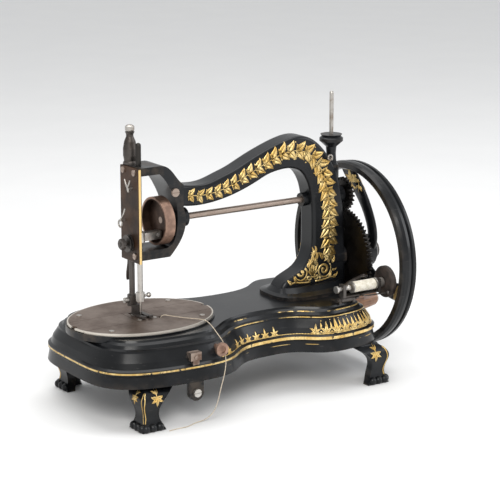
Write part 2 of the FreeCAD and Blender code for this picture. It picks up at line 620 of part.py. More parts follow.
# ---- shafts, gears and wheel --------------------------------------------------------
def tooth_wheel(teeth, module, width, x, z, first_angle):
    """Straight-cut gear about an axis along X, a tooth centred at first_angle from +Z."""
    pitch_r = teeth * module / 2
    base_r = pitch_r * math.cos(math.radians(20))
    outer_r = pitch_r + 0.9 * module
    root_r = pitch_r - 1.15 * module
    pitch_half = math.pi / (2 * teeth) - 0.12 / pitch_r

    def involute(radius):
        if radius <= base_r:
            return 0.0
        return math.sqrt((radius / base_r) ** 2 - 1) - math.acos(base_r / radius)

    def half_angle(radius):
        return pitch_half + involute(pitch_r) - involute(max(radius, base_r))

    flank = [root_r, max(base_r, root_r + 0.2), pitch_r, outer_r]
    points = []
    for tooth in range(teeth):
        middle = first_angle + 2 * math.pi * tooth / teeth
        for radius in flank:
            points.append((radius, middle - half_angle(radius)))
        for radius in reversed(flank):
            points.append((radius, middle + half_angle(radius)))
    ring = [V(x, r * math.sin(a), z + r * math.cos(a)) for r, a in points]
    face = Part.Face(Part.makePolygon(ring + [ring[0]]))
    return face.extrude(V(width, 0, 0))


def gear_module():
    return 2 * (SHAFT_Z - WHEEL_Z) / (GEAR_TEETH + PINION_TEETH)


def make_shaft():
    end = GEAR_LEFT + GEAR_WIDTH + 0.3
    save("top_shaft", rod_x(SHAFT_R, SHAFT_LEFT - 4, end, 0, SHAFT_Z))
    cup = rod_x(CAM_R, CAM_LEFT, CAM_LEFT + CAM_DEPTH, 0, SHAFT_Z)
    cup = cup.cut(rod_x(CAM_R - CAM_WALL, CAM_LEFT - 1, CAM_LEFT + CAM_DEPTH - 3, 0, SHAFT_Z))
    cup = fuse(cup, rod_x(6.0, CAM_LEFT + CAM_DEPTH - 3, CAM_LEFT + CAM_DEPTH + 4, 0, SHAFT_Z))
    cup = cup.cut(rod_x(SHAFT_R, CAM_LEFT - 1, CAM_LEFT + 30, 0, SHAFT_Z))
    save("needle_cam", cup)
    pinion = tooth_wheel(PINION_TEETH, gear_module(), GEAR_WIDTH, GEAR_LEFT, SHAFT_Z,
                         math.pi + math.pi / PINION_TEETH)
    save("shaft_pinion", pinion.cut(rod_x(SHAFT_R, GEAR_LEFT - 1, GEAR_LEFT + 10, 0, SHAFT_Z)))


HUB_LEFT = GEAR_LEFT - 0.6
HUB_RIGHT = 152.0


def make_wheel():
    rim_right = RIM_LEFT + RIM_WIDTH
    inner = WHEEL_R - RIM_DEPTH
    profile = [(inner + 1.5, RIM_LEFT), (WHEEL_R - 2, RIM_LEFT), (WHEEL_R - 0.4, RIM_LEFT + 3),
               (WHEEL_R, RIM_LEFT + 7), (WHEEL_R - 0.6, RIM_LEFT + 10.5), (WHEEL_R - 3.2, RIM_LEFT + 12.2),
               (WHEEL_R - 0.6, RIM_LEFT + 14), (WHEEL_R - 0.8, rim_right), (inner + 1.5, rim_right),
               (inner, RIM_LEFT + 14), (inner, RIM_LEFT + 3)]
    points = [V(x, 0, radius) for radius, x in profile]
    rim = Part.Face(Part.makePolygon(points + [points[0]])).revolve(V(0, 0, 0), X_AXIS, 360)
    hub = turned_x([(11.0, HUB_LEFT), (11.0, 132.0), (HUB_R - 1, 134.0), (HUB_R, 137.0), (HUB_R, 146.0),
                    (HUB_R - 3, 149.0), (11.0, 150.0), (10.0, HUB_RIGHT)], 0, 0)
    curve = [(16.0, 90.5, 130.5), (10.0, 77.0, 133.0), (-1.0, 60.0, 136.5), (-8.5, 44.0, 139.0),
             (-13.0, 28.0, 141.0), (-13.0, 13.0, 142.0), (-8.0, 4.0, 142.0)]
    widths = [25.0, 20.0, 17.5, 15.5, 14.0, 13.5, 13.5]
    thicks = [7.5, 7.0, 7.0, 7.0, 7.5, 8.0, 8.0]
    solids = [hub]
    for turn in (0, 120, 240):
        spoke = rounded_bar([(x, y, z) for y, z, x in curve], (0, 1, 0), widths, thicks)
        spoke.rotate(V(0, 0, 0), X_AXIS, turn)
        solids.append(spoke)
    wheel = fuse(rim, *solids)
    wheel.translate(V(0, 0, WHEEL_Z))
    wheel = wheel.cut(rod_x(STUD_R + RUN_GAP, HUB_LEFT - 1, HUB_RIGHT + 1, 0, WHEEL_Z))
    grip_y, grip_z = grip_place()
    wheel = wheel.fuse(rod_x(8.0, 128.0, rim_right + 1.0, grip_y, grip_z))
    wheel = wheel.cut(rod_x(3.0, 127.0, rim_right + 2.0, grip_y, grip_z))
    save("hand_wheel", wheel.removeSplitter())
    gear = tooth_wheel(GEAR_TEETH, gear_module(), GEAR_WIDTH, GEAR_LEFT, WHEEL_Z, 0.0)
    gear = gear.cut(rod_x(11.0, GEAR_LEFT - 1, GEAR_LEFT + 10, 0, WHEEL_Z))
    save("wheel_gear", gear)
    shoulder = GEAR_LEFT - 1.0
    stud = fuse(rod_x(STUD_R - 1.0, 84.0, shoulder, 0, WHEEL_Z),
                rod_x(STUD_R, shoulder, HUB_RIGHT + 0.5, 0, WHEEL_Z))
    save("wheel_stud", stud)
    cap = turned_x([(9.5, HUB_RIGHT + 0.5), (9.5, HUB_RIGHT + 2.5), (6.0, HUB_RIGHT + 4),
                    (5.0, HUB_RIGHT + 4.5)], 0, WHEEL_Z)
    save("stud_cap", cap.cut(box(HUB_RIGHT + 3.5, HUB_RIGHT + 6, -9, 9, WHEEL_Z - 0.6, WHEEL_Z + 0.6)))


def grip_place():
    angle = math.radians(GRIP_ANGLE)
    radius = WHEEL_R - RIM_DEPTH / 2 - 6
    return -radius * math.sin(angle), WHEEL_Z + radius * math.cos(angle)


def make_grip():
    y, z = grip_place()
    start = RIM_LEFT + RIM_WIDTH + 1.0
    end = start + GRIP_LENGTH
    pin = fuse(rod_x(3.0, 129.0, end + 3.0, y, z), rod_x(5.4, start, start + 1.6, y, z))
    pin = pin.fuse(turned_x([(5.6, end + 2.4), (5.6, end + 4), (3.0, end + 6.0)], y, z))
    save("grip_pin", pin.removeSplitter())
    a = start + 2.2
    profile = [(7.5, a), (8.5, a + 2), (7.0, a + 5), (8.5, a + 12), (GRIP_R - 0.5, a + 24), (GRIP_R, a + 34),
               (GRIP_R - 1, a + 44), (8.0, end + 0.5), (7.0, end + 2.0)]
    grip = turned_x(profile, y, z)
    save("hand_grip", grip.cut(rod_x(3.0 + 0.08, a - 1, end + 3, y, z)))


def biggest(shape):
    return max(shape.Solids, key=lambda solid: solid.Volume)


# ---- bobbin winder ------------------------------------------------------------------
WINDER_LEFT = 62.0
WINDER_RIGHT = 112.5


def make_winder():
    y = WINDER_Y
    z = WINDER_Z
    py = WINDER_PIVOT_Y
    pz = WINDER_PIVOT_Z
    solids = [box(WINDER_LEFT, WINDER_LEFT + 20, py + 3.6, py + 12, DECK_TOP, DECK_TOP + 1.6)]
    for ear in (WINDER_LEFT, WINDER_LEFT + 17):
        solids.append(box(ear, ear + 3, py - 2.6, py + 5, DECK_TOP, pz))
        solids.append(rod_x(2.6, ear, ear + 3, py, pz))
    solids.append(rod_x(1.8, WINDER_LEFT, WINDER_LEFT + 20, py, pz))
    solids.append(rod_x(2.5, WINDER_LEFT - 2, WINDER_LEFT, py, pz))
    save("winder_mount", fuse(*solids))
    hinge_x0 = WINDER_LEFT + 3 + SLIDE_GAP
    hinge_x1 = WINDER_LEFT + 17 - SLIDE_GAP
    rail_z = pz + 3.0
    barrel = fuse(rod_x(3.0, hinge_x0, hinge_x1, py, pz),
                  box(hinge_x0, hinge_x1, py - 2, py + 2, pz, rail_z + 1))
    rail = box(hinge_x0, WINDER_RIGHT, py - 4.5, py + 3.5, rail_z, rail_z + 1.5)
    left_post = box(hinge_x0, hinge_x0 + 3.5, y - 4, y + 4, rail_z, z + 4.5)
    right_post = box(WINDER_RIGHT - 3.0, WINDER_RIGHT, y - 4.5, y + 4.5, rail_z, z + 5.0)
    arm = rounded_bar([(hinge_x0 + 5, py + 3, pz + 2), (hinge_x0 + 9, py + 8, pz + 8),
                       (hinge_x0 + 22, py + 12, pz + 14),
                       (hinge_x0 + 36, py + 14, pz + 17)], (0, 1, 0), [6, 6, 5.5, 5], [3.2, 3, 3, 3])
    ring = Part.makeTorus(3.2, 1.2, V(hinge_x0 + 39.5, py + 14, pz + 17), Z_AXIS)
    bracket = fuse(barrel, rail, left_post, right_post, arm, ring)
    bracket = bracket.cut(rod_x(1.8 + RUN_GAP, hinge_x0 - 1, hinge_x1 + 1, py, pz))
    bracket = bracket.cut(rod_x(2.0 + RUN_GAP, WINDER_RIGHT - 4, WINDER_RIGHT + 1, y, z))
    bracket = bracket.cut(rod_x(2.2 + RUN_GAP, hinge_x0 - 1, hinge_x0 + 5, y, z))
    rod_z0 = rail_z + 0.8
    rod = bent_rod([(hinge_x0 + 22, py - 4.5, rod_z0), (hinge_x0 + 22, py - 10.5, rod_z0),
                    (WINDER_RIGHT + 3.0, py - 13.5, rod_z0)], 0.7, 2.0)
    save("winder_bracket", fuse(bracket, rod, ball(2.1, WINDER_RIGHT + 3.5, py - 13.6, rod_z0)))
    left = BOBBIN_LEFT
    right = left + BOBBIN_LENGTH
    spindle = fuse(rod_x(2.0, right + 0.3, 125.8, y, z), rod_x(4.4, right + 0.3, WINDER_RIGHT - 3.4, y, z),
                   rod_x(5.0, WINDER_RIGHT + SLIDE_GAP, WINDER_RIGHT + 4.5, y, z))
    save("winder_spindle", spindle)
    pulley_x = RIM_LEFT + 0.8
    pulley = turned_x([(14.0, pulley_x), (WINDER_PULLEY_R, pulley_x + 1.2),
                       (WINDER_PULLEY_R, pulley_x + 4.8),
                       (14.0, pulley_x + 6.0)], y, z)
    save("winder_pulley", pulley.cut(rod_x(2.0, pulley_x - 1, pulley_x + 8, y, z)))
    bobbin = fuse(rod_x(2.4, left, right, y, z), rod_x(BOBBIN_R + 0.6, left, left + 1.2, y, z),
                  rod_x(BOBBIN_R + 0.6, right - 1.2, right, y, z))
    save("bobbin", bobbin)
    wound = turned_x([(BOBBIN_R - 1, left + 1.2), (BOBBIN_R, left + 3), (BOBBIN_R, right - 3),
                      (BOBBIN_R - 1, right - 1.2)], y, z)
    save("bobbin_winding", wound.cut(rod_x(2.4, left, right, y, z)))
    centre = fuse(rod_x(2.2, hinge_x0 - 5, left - 3.5, y, z), ball(3.2, left - 3.4, y, z),
                  rod_x(3.8, hinge_x0 - 7, hinge_x0 - 5, y, z))
    save("winder_centre", centre)


# ---- under the bed ------------------------------------------------------------------
def make_regulator():
    y = -85.0
    stem = rod_y(REGULATOR_STEM_R, y, -62.0, REGULATOR_X, REGULATOR_Z)
    knob = rod_y(6.8, y - 7.5, y - 4.5, REGULATOR_X, REGULATOR_Z)
    knob = fuse(knob, rod_y(4.2, y - 4.5, y, REGULATOR_X, REGULATOR_Z), stem)
    for i in range(18):
        turn = math.radians(20 * i)
        knob = knob.cut(rod_y(0.35, y - 9, y - 4,
                              REGULATOR_X + 6.9 * math.cos(turn), REGULATOR_Z + 6.9 * math.sin(turn)))
    knob = knob.cut(rod_y(3.6, y - 9, y - 6.7, REGULATOR_X, REGULATOR_Z))
    save("regulator_knob", knob)


LEVER_X = NEEDLE_X - 19.5     # the shuttle lever swings about a post behind the race
LEVER_Y = 22.0
LEVER_Z = 52.0
LEVER_FRONT = 34.0
LEVER_BACK = 18.0
RACE_FRONT = -8.5
RACE_BACK = 1.5
RACE_LOW = 62.0


def make_shuttle():
    """Trough under the needle, with the shuttle and the carrier that pushes it."""
    x = NEEDLE_X
    low = RACE_LOW
    roof = DECK_TOP - DECK_THICK
    race = box(x - RACE_HALF, x + RACE_HALF, RACE_FRONT, RACE_BACK, low, low + 10)
    race = race.cut(box(x - RACE_HALF - 1, x + RACE_HALF + 1, RACE_FRONT + 2.5, RACE_BACK - 2.5,
                        low + 2, low + 11))
    race = race.cut(rod_z(1.6, low + 3, low + 11, x, 0))
    posts = [box(px, px + 5, RACE_FRONT, RACE_BACK, low + 8, roof)
             for px in (x - RACE_HALF, x + RACE_HALF - 5)]
    save("shuttle_race", fuse(race, *posts))
    y = (RACE_FRONT + RACE_BACK) / 2
    shuttle = rounded_bar([(x - 16, y, low + 6.5), (x - 10, y, low + 6.5), (x + 8, y, low + 6.5),
                           (x + 17, y, low + 5.5)], (0, 1, 0), [2.8, 3.6, 3.6, 0.8], [5.2, 7.6, 7.6, 1.2])
    save("shuttle", shuttle)
    driver = box(x - 22, x - 16.6, RACE_FRONT + 2.9, RACE_BACK - 2.9, low + 2.4, low + 12.6)
    bridge = box(x - 22, x - 17, -13.0, RACE_BACK - 2.9, low + 10.6, low + 12.6)
    drop = box(x - 22, x - 17, -13.0, -10.0, low - 5, low + 12.6)
    pin = rod_z(2.0, LEVER_Z - 3.5, low - 5, LEVER_X, -11.5)
    save("shuttle_carrier", fuse(driver, bridge, drop, pin))


def make_levers():
    """Lever and rod that drive the shuttle, and the posts and hangers that carry them."""
    roof = DECK_TOP - DECK_THICK
    x = LEVER_X
    y = LEVER_Y
    z = LEVER_Z
    hub = rod_z(8.0, z - 2.5, z + 8, x, y)
    arm = box(x - 5.5, x + 5.5, y - LEVER_FRONT - 7, y, z - 2, z + 2)
    tail = box(x - 4.5, x + 4.5, y, y + LEVER_BACK + 5, z - 2, z + 2)
    lever = fuse(hub, arm, tail, rod_z(2.0, z, z + 6, x, y + LEVER_BACK))
    lever = lever.cut(box(x - 3, x + 3, y - LEVER_FRONT - 8, y - LEVER_FRONT + 5, z - 3, z + 3))
    save("shuttle_lever", lever.cut(rod_z(4.0 + RUN_GAP, z - 4, z + 9, x, y)))
    rod_y0 = y + LEVER_BACK
    eye = box(x - 5, x + 5, rod_y0 - 6.5, rod_y0 + 5, z + 2.6, z + 5.6)
    rod = fuse(eye, box(x + 3, 60.0, rod_y0 - 2.5, rod_y0 + 2.5, z + 2.6, z + 5.6))
    slot = box(x - 2.6, x + 2.6, rod_y0 - 4.2, rod_y0 + 2.6, z + 2, z + 7)
    save("drive_rod", rod.cut(slot))
    hangers = [fuse(rod_z(4.0, z - 4, roof, x, y), rod_z(6.5, z - 5.5, z - 3.2, x, y))]
    for hx in (-60.0, 36.0):
        hanger = box(hx, hx + 7, 24, 46, ROCK_Z - 6, roof)
        hanger = hanger.cut(rod_x(3.5 + RUN_GAP, hx - 1, hx + 8, ROCK_Y, ROCK_Z))
        hanger = hanger.cut(box(hx - 1, hx + 8, rod_y0 - 3, rod_y0 + 3, z + 2.1, z + 6.1))
        hangers.append(biggest(hanger.cut(SHAPES["bed_casting"])))
    save("works_hangers", Part.makeCompound(hangers))


ROCK_Y = 30.0
ROCK_Z = 66.0


def make_feed():
    """Feed dog under the needle plate and the rock shaft that pushes it."""
    x = NEEDLE_X
    bar = box(x - 8.5, x + 8.5, 5, 10, 72, 77)
    for tooth_x in (-5.0, 5.0):
        bar = bar.fuse(box(x + tooth_x - 1.2, x + tooth_x + 1.2, 4.5, 10.5, 77, PLATE_TOP - 0.6))
    for tooth in range(4):
        bar = bar.cut(box(x - 9, x + 9, 5.5 + 1.4 * tooth, 6.1 + 1.4 * tooth, PLATE_TOP - 1.3, PLATE_TOP))
    save("feed_dog", bar)
    shaft = rod_x(3.5, x - 3.0, 60.0, ROCK_Y, ROCK_Z)
    finger = fuse(box(x - 3.0, x + 4.0, 13.0, ROCK_Y, ROCK_Z - 2.5, ROCK_Z + 2.5),
                  box(x - 3.0, x + 4.0, 13.0, 16.0, ROCK_Z - 2.5, 76.0))
    save("feed_rock_shaft", fuse(shaft, finger))


def make_trim():
    """Small fittings: shield plate on the skirt and the thread eye on the pillar."""
    x = -125.0
    shield = fuse(box(x - 6, x + 6, -89.5, -82, 63, 71), box(x - 3.5, x + 3.5, -89.5, -82, 58.8, 64))
    save("skirt_shield", fuse(shield, rod_y(2.0, -90.3, -89.5, x, 66.0)).cut(SHAPES["bed_casting"]))
    eye = Part.makeTorus(2.6, 0.8, V(84.0, -16.0, 226.0), Y_AXIS)
    stem = rod_y(1.2, -15.6, -7.0, 86.6, 224.0)
    save("thread_eye", fuse(eye, stem).cut(SHAPES["arm_casting"]))


# ---- loose thread -------------------------------------------------------------------
def make_thread():
    """Free end of the under thread: out over the plate's edge, down and along the surface."""
    route = [(-120.2, -14, 84), (-119.8, -14.4, 90.6), (-112, -22, 89.4), (-104, -33, 88.9),
             (-97, -43, 89.2), (-93, -55, 90.5), (-94, -68, 88), (-94, -79, 82), (-91.2, -86, 74.5),
             (-91.2, -87.3, 65),
             (-93, -92.8, 57), (-97, -95, 44), (-101, -94.5, 31), (-103.5, -94, 19), (-107, -91.5, 8),
             (-114, -88.5, 1.2), (-126, -88.5, 0.5), (-139, -95, 0.5), (-149, -93.5, 0.5), (-159, -95, 0.5)]
    points = [V(*p) for p in route]
    edges = []
    here = points[0]
    radii = []
    for before, corner, after in zip(points, points[1:], points[2:]):
        towards = before - corner
        away = after - corner
        short = min(towards.Length, away.Length)
        towards = towards.normalize()
        away = away.normalize()
        half = towards.getAngle(away) / 2
        reach = 0.45 * short
        radius = reach * math.tan(half)
        radii.append(radius)
        start = corner + towards * reach
        end = corner + away * reach
        middle = corner + (towards + away).normalize() * (radius / math.sin(half) - radius)
        edges.append(Part.LineSegment(here, start).toShape())
        edges.append(Part.Arc(start, middle, end).toShape())
        here = end
    edges.append(Part.LineSegment(here, points[-1]).toShape())
    path = Part.Wire(edges)
    section = Part.Wire(Part.Circle(points[0], points[1] - points[0], THREAD_R).toShape())
    tube = path.makePipeShell([section], True, False)
    print("thread radii", [round(r, 1) for r in radii])
    print("thread length", round(path.Length, 1), "volume ratio",
          round(tube.Volume / (math.pi * THREAD_R ** 2 * path.Length), 4))
    save("under_thread", tube)


def main():
    make_bed()
    save("front_legs", Part.makeCompound([make_leg(-1, -1), make_leg(1, -1)]))
    save("back_legs", Part.makeCompound([make_leg(-1, 1), make_leg(1, 1)]))
    make_plates()
    make_arm()
    make_spool_holder()
    make_head()
    make_face_plate()
    make_face_fittings()
    make_needle_bar()
    make_presser()
    make_lifter()
    make_shaft()
    make_wheel()
    make_grip()
    make_winder()
    make_regulator()
    make_shuttle()
    make_feed()
    make_levers()
    make_trim()
    make_thread()
    os.makedirs("parts", exist_ok=True)
    left_end = BED_LEFT - SKIRT_FLARE
    right_end = RIM_LEFT + RIM_WIDTH + GRIP_LENGTH + 7.0
    middle = (left_end + right_end) / 2
    for name, shape in SHAPES.items():
        shape.translate(V(-middle, 0, 0))
        if not shape.isValid() or not shape.Solids:
            print("CHECK", name, shape.isValid(), len(shape.Solids))
        shape.exportStep("parts/" + name + ".step")
    print(len(SHAPES), "nodes")


main()
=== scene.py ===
"""Looks of a small hand-turned sewing machine: black japan, gold leaf, oily steel and brass."""
import json
import math
import random

import bmesh
import bpy
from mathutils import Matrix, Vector
from mathutils.bvhtree import BVHTree


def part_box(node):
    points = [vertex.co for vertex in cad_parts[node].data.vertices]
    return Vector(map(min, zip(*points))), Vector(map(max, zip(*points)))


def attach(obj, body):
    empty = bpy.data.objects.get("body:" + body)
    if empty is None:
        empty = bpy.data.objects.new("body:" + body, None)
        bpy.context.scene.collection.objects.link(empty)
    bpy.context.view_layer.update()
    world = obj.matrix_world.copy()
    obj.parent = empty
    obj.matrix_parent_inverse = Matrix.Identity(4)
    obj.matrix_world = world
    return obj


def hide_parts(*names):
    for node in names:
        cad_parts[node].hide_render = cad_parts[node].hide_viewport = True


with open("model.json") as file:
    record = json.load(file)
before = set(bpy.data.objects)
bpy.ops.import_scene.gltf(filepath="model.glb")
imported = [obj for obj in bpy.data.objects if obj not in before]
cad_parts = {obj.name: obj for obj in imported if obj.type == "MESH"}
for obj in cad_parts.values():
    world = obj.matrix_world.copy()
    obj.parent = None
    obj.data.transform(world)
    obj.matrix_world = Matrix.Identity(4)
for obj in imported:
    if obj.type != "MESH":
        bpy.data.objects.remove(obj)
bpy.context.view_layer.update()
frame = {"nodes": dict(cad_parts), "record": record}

MM = 0.001
SHIFT = 8.25        # the machine's drawing is this much left of its footprint centre
chance = random.Random(7)


def at(x, y, z):
    """A point of the machine's drawing, in millimetres, as a place in the frame."""
    return Vector(((x + SHIFT) * MM, y * MM, z * MM))


# ---- camera, floor and light --------------------------------------------------------
def stand_camera(turn, rise, distance, lens, target):
    eye = bpy.data.cameras.new("eye")
    eye.lens = lens
    camera = bpy.data.objects.new("eye", eye)
    bpy.context.scene.collection.objects.link(camera)
    a, e = math.radians(turn), math.radians(rise)
    back = Vector((math.sin(a) * math.cos(e), -math.cos(a) * math.cos(e), math.sin(e)))
    camera.location = target + back * distance
    camera.rotation_euler = (-back).to_track_quat("-Z", "Y").to_euler()
    bpy.context.scene.camera = camera


def soft_light(name, place, target, size, power, tint):
    lamp = bpy.data.lights.new(name, "AREA")
    lamp.shape = "RECTANGLE"
    lamp.size, lamp.size_y = size
    lamp.energy = power
    lamp.color = tint
    holder = bpy.data.objects.new(name, lamp)
    bpy.context.scene.collection.objects.link(holder)
    holder.location = place
    holder.rotation_euler = (Vector(target) - Vector(place)).to_track_quat("-Z", "Y").to_euler()


stand_camera(-33.5, 14.0, 1.94, 137.0, Vector((0.004, 0.0, 0.137)))
soft_light("window", (-1.1, -1.5, 1.5), (0, 0, 0.1), (1.1, 0.9), 30, (1.0, 0.98, 0.95))
soft_light("side_glow", (1.6, -1.0, 0.9), (0, 0, 0.12), (0.8, 1.2), 11, (0.95, 0.97, 1.0))
soft_light("top_sheet", (0.1, 0.3, 1.7), (0, 0, 0.1), (1.5, 1.1), 14, (1.0, 1.0, 1.0))
world = bpy.data.worlds.new("studio")
bpy.context.scene.world = world
world.use_nodes = True
world.node_tree.nodes["Background"].inputs["Color"].default_value = (0.94, 0.95, 0.96, 1)
world.node_tree.nodes["Background"].inputs["Strength"].default_value = 0.75
bpy.context.scene.view_settings.view_transform = "Standard"


# ---- finishes -----------------------------------------------------------------------
class Level:
    """A number that changes over a surface. Sums written with it add Math nodes."""

    def __init__(self, coat, socket):
        self.coat, self.socket = coat, socket

    def sum(self, kind, first, second):
        return self.coat.part("Math", {"operation": kind}, {0: first, 1: second})

    def __add__(self, other): return self.sum("ADD", self, other)
    def __radd__(self, other): return self.sum("ADD", other, self)
    def __sub__(self, other): return self.sum("SUBTRACT", self, other)
    def __rsub__(self, other): return self.sum("SUBTRACT", other, self)
    def __mul__(self, other): return self.sum("MULTIPLY", self, other)
    def __rmul__(self, other): return self.sum("MULTIPLY", other, self)
    def __truediv__(self, other): return self.sum("DIVIDE", self, other)


class Coat:
    """One finish: a material and the nodes that colour it."""

    def __init__(self, name, **fixed):
        self.material = bpy.data.materials.new(name)
        self.material.use_nodes = True
        self.sheet = self.material.node_tree
        self.shader = self.sheet.nodes["Principled BSDF"]
        for socket, value in fixed.items():
            self.shader.inputs[socket.replace("_", " ")].default_value = value

    def part(self, kind, settings=None, sockets=None, out=0):
        node = self.sheet.nodes.new("ShaderNode" + kind)
        for key, value in (settings or {}).items():
            if key == "stops":
                while len(node.color_ramp.elements) < len(value):
                    node.color_ramp.elements.new(0.5)
                for stop, (spot, colour) in zip(node.color_ramp.elements, value):
                    stop.position, stop.color = spot, (*colour, 1)
            else:
                setattr(node, key, value)
        for key, value in (sockets or {}).items():
            if isinstance(value, Level):
                self.sheet.links.new(value.socket, node.inputs[key])
            else:
                node.inputs[key].default_value = value
        return Level(self, node.outputs[out])

    def place(self, out="Object"):
        return self.part("TexCoord", out=out)

    def axes(self, vector):
        first = self.part("SeparateXYZ", None, {0: vector})
        node = first.socket.node
        return [Level(self, node.outputs[i]) for i in range(3)]

    def cloud(self, scale, detail=4.0, rough=0.55, stretch=None):
        spot = self.place()
        if stretch:
            spot = self.part("Mapping", None, {"Vector": spot, "Scale": stretch})
        settings = {"Vector": spot, "Scale": scale, "Detail": detail, "Roughness": rough}
        return self.part("TexNoise", None, settings)

    def between(self, level, low, high):
        return self.part("MapRange", {"interpolation_type": "SMOOTHSTEP"}, {0: level, 1: low, 2: high})

    def band(self, level, low, high, soft):
        above = self.between(level, low - soft, low + soft)
        return above * (1 - self.between(level, high - soft, high + soft))

    def tint(self, share, first, second):
        full = [c if isinstance(c, Level) else (*c, 1) for c in (first, second)]
        return self.part("Mix", {"data_type": "RGBA"}, {0: share, 6: full[0], 7: full[1]}, out=2)

    def edge(self, low=0.52, high=0.60):
        return self.between(self.part("NewGeometry", out="Pointiness"), low, high)

    def use(self, **links):
        for socket, level in links.items():
            target = self.shader.inputs[socket.replace("_", " ")]
            self.sheet.links.new(level.socket, target)
        return self

    def relief(self, height, distance, strength=1.0):
        bump = self.part("Bump", None, {"Height": height, "Distance": distance, "Strength": strength})
        self.sheet.links.new(bump.socket, self.shader.inputs["Normal"])
        return self


def black_japan(name, gilding=None):
    """Stove-enamelled iron: deep black, a little dusty, rubbed through along the edges."""
    coat = Coat(name, Coat_Roughness=0.10, Specular_IOR_Level=0.22)
    dust = coat.cloud(22, 6)
    grit = coat.cloud(900, 2)
    patch = coat.between(coat.cloud(60, 8, 0.7), 0.42, 0.62)
    scratch = coat.between(coat.cloud(240, 3, 0.6, (0.25, 1, 4)), 0.66, 0.74)
    rubbed = coat.edge(0.535, 0.62) * patch
    colour = coat.tint(coat.between(dust, 0.38, 0.72), (0.0025, 0.003, 0.0038), (0.011, 0.012, 0.014))
    colour = coat.tint(scratch * 0.35, colour, (0.10, 0.095, 0.09))
    colour = coat.tint(rubbed * 0.28, colour, (0.16, 0.125, 0.095))
    rough = 0.20 + dust * 0.24 + rubbed * 0.12 + scratch * 0.1
    metal = rubbed * 0.2
    if gilding:
        gilt = gilding(coat) * coat.between(coat.cloud(210, 6, 0.72), 0.36, 0.47)
        colour = coat.tint(gilt, colour, gold_shade(coat))
        metal = metal * (1 - gilt) + gilt * 0.85
        rough = rough * (1 - gilt) + gilt * 0.36
    coat.use(Base_Color=colour, Roughness=rough, Metallic=metal, Coat_Weight=0.15 - rubbed * 0.12)
    return coat.relief(dust * 0.6 + grit * 0.12, 0.0005, 0.5).material


def gold_shade(coat):
    return coat.tint(coat.between(coat.cloud(120, 4), 0.35, 0.65), (0.64, 0.41, 0.12), (0.88, 0.66, 0.29))


def bed_lines(coat):
    """Gold lines that run round the mouldings of the bed, worn away here and there."""
    x, y, z = coat.axes(coat.place())
    thin = coat.cloud(34, 5)
    right = coat.between(x, -0.085, -0.045)
    bead = coat.band(z, 0.0552, 0.0582, 0.00015) * right
    bead = bead + coat.band(z, 0.0558, 0.0575, 0.00015) * (1 - right) * 0.8
    step = coat.band(z, 0.0753, 0.0761, 0.0001) * coat.between(thin, 0.40, 0.50)
    ledge = coat.band(z, 0.0797, 0.0805, 0.0001) * coat.between(thin, 0.47, 0.56)
    foot = coat.band(z, 0.0500, 0.0505, 0.0001) * coat.between(thin, 0.52, 0.60)
    return bead + (step + ledge + foot) * right


def gold_leaf():
    coat = Coat("gold_leaf", Coat_Roughness=0.15)
    worn = coat.between(coat.cloud(330, 7, 0.75), 0.585, 0.66)
    vein = coat.cloud(1500, 3, 0.6)
    colour = coat.tint(worn, gold_shade(coat), (0.03, 0.024, 0.016))
    coat.use(Base_Color=colour, Metallic=0.9 - worn * 0.85, Roughness=0.30 + vein * 0.2 + worn * 0.1)
    return coat.relief(vein, 0.0001, 0.35).material


def steel(name, bright, stained, stain=(0.46, 0.68), shine=0.28, brushed=(1, 1, 1),
          black_above=None, rub=0.6):
    """Old machined steel: fine tool marks, oil stains and a bloom of rust in the dull parts.

    brushed stretches the tool marks, black_above is the height where blacking starts, and rub is how
    bright the edges are.
    """
    coat = Coat(name)
    marks = coat.cloud(700, 3, 0.6, brushed)
    mottle = coat.between(coat.cloud(75, 7, 0.68), *stain)
    pits = coat.between(coat.cloud(520, 5, 0.7), 0.62, 0.70)
    rubbed = coat.edge(0.52, 0.60)
    colour = coat.tint(mottle, bright, stained)
    colour = coat.tint(pits * 0.7, colour, tuple(c * 0.35 for c in stained))
    colour = coat.tint(rubbed * rub, colour, tuple(min(1, c * 1.25 + 0.03) for c in bright))
    if black_above:
        x, y, z = coat.axes(coat.place())
        blacked = coat.between(z, black_above, black_above + 0.001) * 0.93
        colour = coat.tint(blacked, colour, (0.012, 0.010, 0.009))
    coat.use(Base_Color=colour, Metallic=1.0 - mottle * 0.25 - pits * 0.5,
             Roughness=shine + marks * 0.14 + mottle * 0.18 + pits * 0.2)
    return coat.relief(marks * 0.4 - pits, 0.00015, 0.5).material


def plate_steel():
    """Nickelled plate gone brown, with a bright rim where the plating was filed to an edge."""
    coat = Coat("plate_steel")
    x, y, z = coat.axes(coat.place())
    wide = (x - at(NEEDLE_X, 0, 0).x) / 0.076
    deep = y / 0.060
    out = wide * wide + deep * deep
    rim = coat.between(out, 0.955, 0.972)
    swirl = coat.cloud(30, 7, 0.65)
    marks = coat.cloud(900, 2, 0.5, (0.12, 1, 1))
    pits = coat.between(coat.cloud(340, 6, 0.7), 0.63, 0.72)
    colour = coat.tint(coat.between(swirl, 0.35, 0.68), (0.235, 0.18, 0.145), (0.125, 0.085, 0.063))
    colour = coat.tint(pits * 0.6, colour, (0.06, 0.04, 0.03))
    colour = coat.tint(rim, colour, (0.66, 0.61, 0.54))
    coat.use(Base_Color=colour, Metallic=0.92 - pits * 0.5, Roughness=0.27 + swirl * 0.22 + marks * 0.08)
    return coat.relief(marks * 0.5 + swirl, 0.00012, 0.35).material


